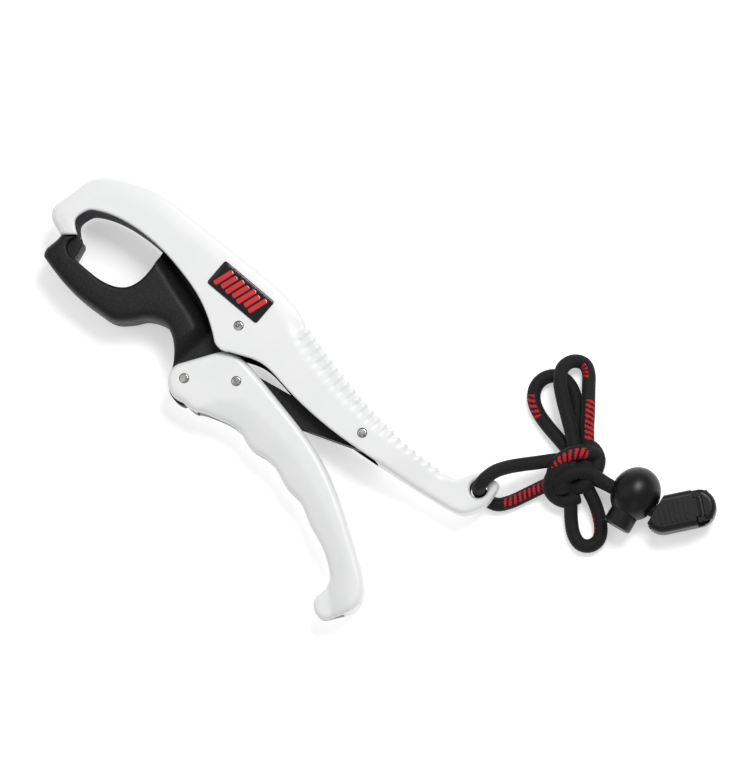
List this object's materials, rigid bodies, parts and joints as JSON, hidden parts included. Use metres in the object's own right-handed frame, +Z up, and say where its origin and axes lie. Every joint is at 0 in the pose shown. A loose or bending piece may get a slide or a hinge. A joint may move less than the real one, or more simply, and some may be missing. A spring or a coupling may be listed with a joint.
{
  "type": "lip grip",
  "caption": "Hand-held fish lip grip lying on its side: fixed upper jaw, spring-closed lower jaw worked by a finger lever and link, with a knotted cord through the tail.",
  "frame": {"origin": "centre of the gripper's own footprint, cord left out, on the flat outer face of the rear cover at z = 0", "axes": "+X from the jaws to the tail, +Y towards the ribbed back, +Z up out of the front cover"},
  "size_m": [0.3119, 0.1547, 0.0271],
  "materials": {
    "white_plastic": "satin moulded",
    "black_frame_plastic": "polished",
    "black_nylon": "fine grained",
    "pin_steel": "polished domed heads",
    "spring_steel": "drawn wire",
    "badge_black": "polished",
    "badge_red": "polished",
    "woven_cord": "braided, with red flecks",
    "lock_plastic": "satin moulded"
  },
  "bodies": {
    "body": {"body_frame": "black_frame_plastic", "front_cover": "white_plastic", "rear_cover": "white_plastic", "badge_plate": "badge_black", "badge_bars": "badge_red", "jaw_pin": "pin_steel", "body_link_pin": "pin_steel", "closing_spring": "spring_steel", "cord_tail_loop": "woven_cord", "cord_left_loop": "woven_cord", "cord_top_loop": "woven_cord", "cord_bottom_loop": "woven_cord", "cord_knot": "woven_cord", "cord_ends": "woven_cord", "cord_end_base": "lock_plastic", "cord_end_pin": "pin_steel"},
    "jaw": {"lower_jaw": "black_nylon"},
    "lever": {"lever": "white_plastic", "lever_pin": "pin_steel", "link_pin": "pin_steel"},
    "link": {"link": "black_nylon"},
    "lock": {"cord_lock_body": "lock_plastic", "cord_lock_spring": "spring_steel"},
    "lock_button": {"cord_lock_button": "lock_plastic"},
    "end_lid": {"cord_end_lid": "lock_plastic"}
  },
  "joints": [
    {"name": "jaw_pivot", "type": "hinge", "parent": "body", "child": "jaw", "pos_m": [-0.01724, 0.0285, 0.0125], "axis": [0, 0, 1], "range_deg": [0, 5.5], "stiffness_Nm_per_rad": 1.5, "springref_deg": -5.73, "deforming": ["closing_spring"]},
    {"name": "lever_pivot", "type": "hinge", "parent": "jaw", "child": "lever", "pos_m": [-0.02644, -0.0024, 0.0125], "axis": [0, 0, 1], "range_deg": [0, 9.8]},
    {"name": "link_pivot", "type": "hinge", "parent": "body", "child": "link", "pos_m": [0.05206, 0.0153, 0.0125], "axis": [0, 0, 1], "range_deg": [-4.2, 0]},
    {"name": "lock_slide", "type": "slide", "parent": "body", "child": "lock", "axis": [-1, 0, 0], "range_m": [0, 0.0025]},
    {"name": "lock_button_press", "type": "slide", "parent": "lock", "child": "lock_button", "axis": [0, 1, 0], "range_m": [0, 0.003], "stiffness_N_per_m": 300, "springref_m": -0.001, "deforming": ["cord_lock_spring"]},
    {"name": "end_lid_hinge", "type": "hinge", "parent": "body", "child": "end_lid", "pos_m": [0.1916, 0.06122, 0.0137], "axis": [-0.6691, 0.7431, 0], "range_deg": [0, 65]}
  ],
  "couplings": [
    {"joint": "lever_pivot", "follows": "jaw_pivot", "ratio": 1.78},
    {"joint": "link_pivot", "follows": "jaw_pivot", "ratio": -0.76}
  ]
}
